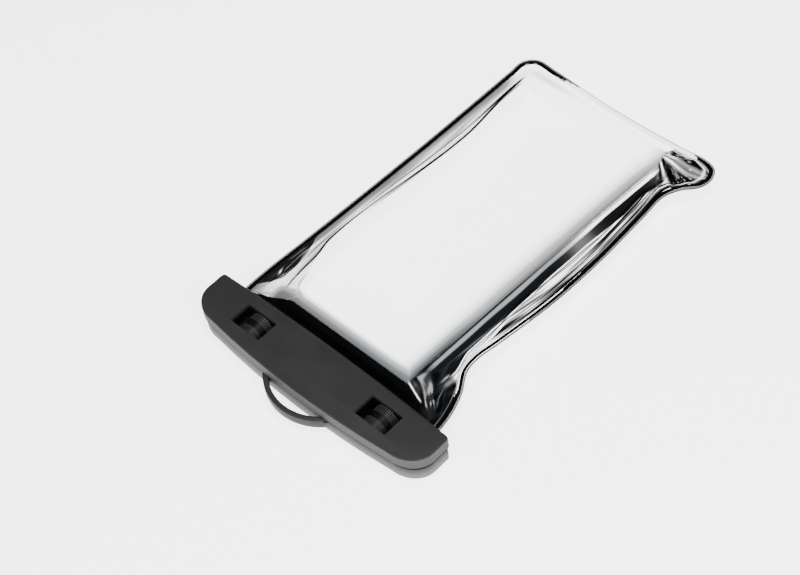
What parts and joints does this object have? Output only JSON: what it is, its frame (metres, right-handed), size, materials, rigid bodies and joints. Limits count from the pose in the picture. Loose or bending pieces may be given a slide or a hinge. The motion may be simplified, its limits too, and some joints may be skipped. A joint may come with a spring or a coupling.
{
  "type": "waterproof phone pouch",
  "caption": "Clear film pouch with a black welded border, shut at its mouth by a clamp bar with thumb rollers and a lanyard loop.",
  "frame": {"origin": "under the middle of the outline, on the plane that the back lies on", "axes": "+X along the clamp bar, +Y from the bar to the far end of the pouch, +Z out of the front"},
  "size_m": [0.1174, 0.193, 0.013],
  "materials": {
    "bar_plastic": "fine matt moulded texture",
    "carrier_plastic": "matt moulded",
    "roller_plastic": "satin black, knurled",
    "clear_film": "clear glossy film",
    "black_film": "glossy black film",
    "seal_rubber": "soft matt",
    "pin_steel": "turned"
  },
  "bodies": {
    "pouch": {"rear_jaw": "bar_plastic", "rear_seal": "seal_rubber", "guide_pin_left": "pin_steel", "guide_pin_right": "pin_steel", "front_film": "clear_film", "back_film": "clear_film", "front_mouth_band": "black_film", "back_mouth_band": "black_film", "weld_rim": "black_film"},
    "front_jaw": {"front_cover": "bar_plastic", "roller_carrier": "carrier_plastic", "front_seal": "seal_rubber", "cover_screw_1": "pin_steel", "cover_screw_2": "pin_steel", "cover_screw_3": "pin_steel", "cover_screw_4": "pin_steel", "roller_pin_left": "pin_steel", "roller_pin_right": "pin_steel"},
    "roller_left": {"thumb_roller_left": "roller_plastic"},
    "roller_right": {"thumb_roller_right": "roller_plastic"}
  },
  "joints": [
    {"name": "front_jaw_release", "type": "slide", "parent": "pouch", "child": "front_jaw", "axis": [0, 0, 1], "range_m": [0, 0.0018]},
    {"name": "roller_left_turn", "type": "hinge", "parent": "front_jaw", "child": "roller_left", "pos_m": [-0.0326, -0.07755, 0.0068], "axis": [0, 1, 0], "range_deg": [0, 90]},
    {"name": "roller_right_turn", "type": "hinge", "parent": "front_jaw", "child": "roller_right", "pos_m": [0.0326, -0.07755, 0.0068], "axis": [0, 1, 0], "range_deg": [0, 90]}
  ],
  "couplings": [
    {"joint": "roller_left_turn", "follows": "front_jaw_release", "rad_per_m": 872.66},
    {"joint": "roller_right_turn", "follows": "front_jaw_release", "rad_per_m": 872.66}
  ]
}
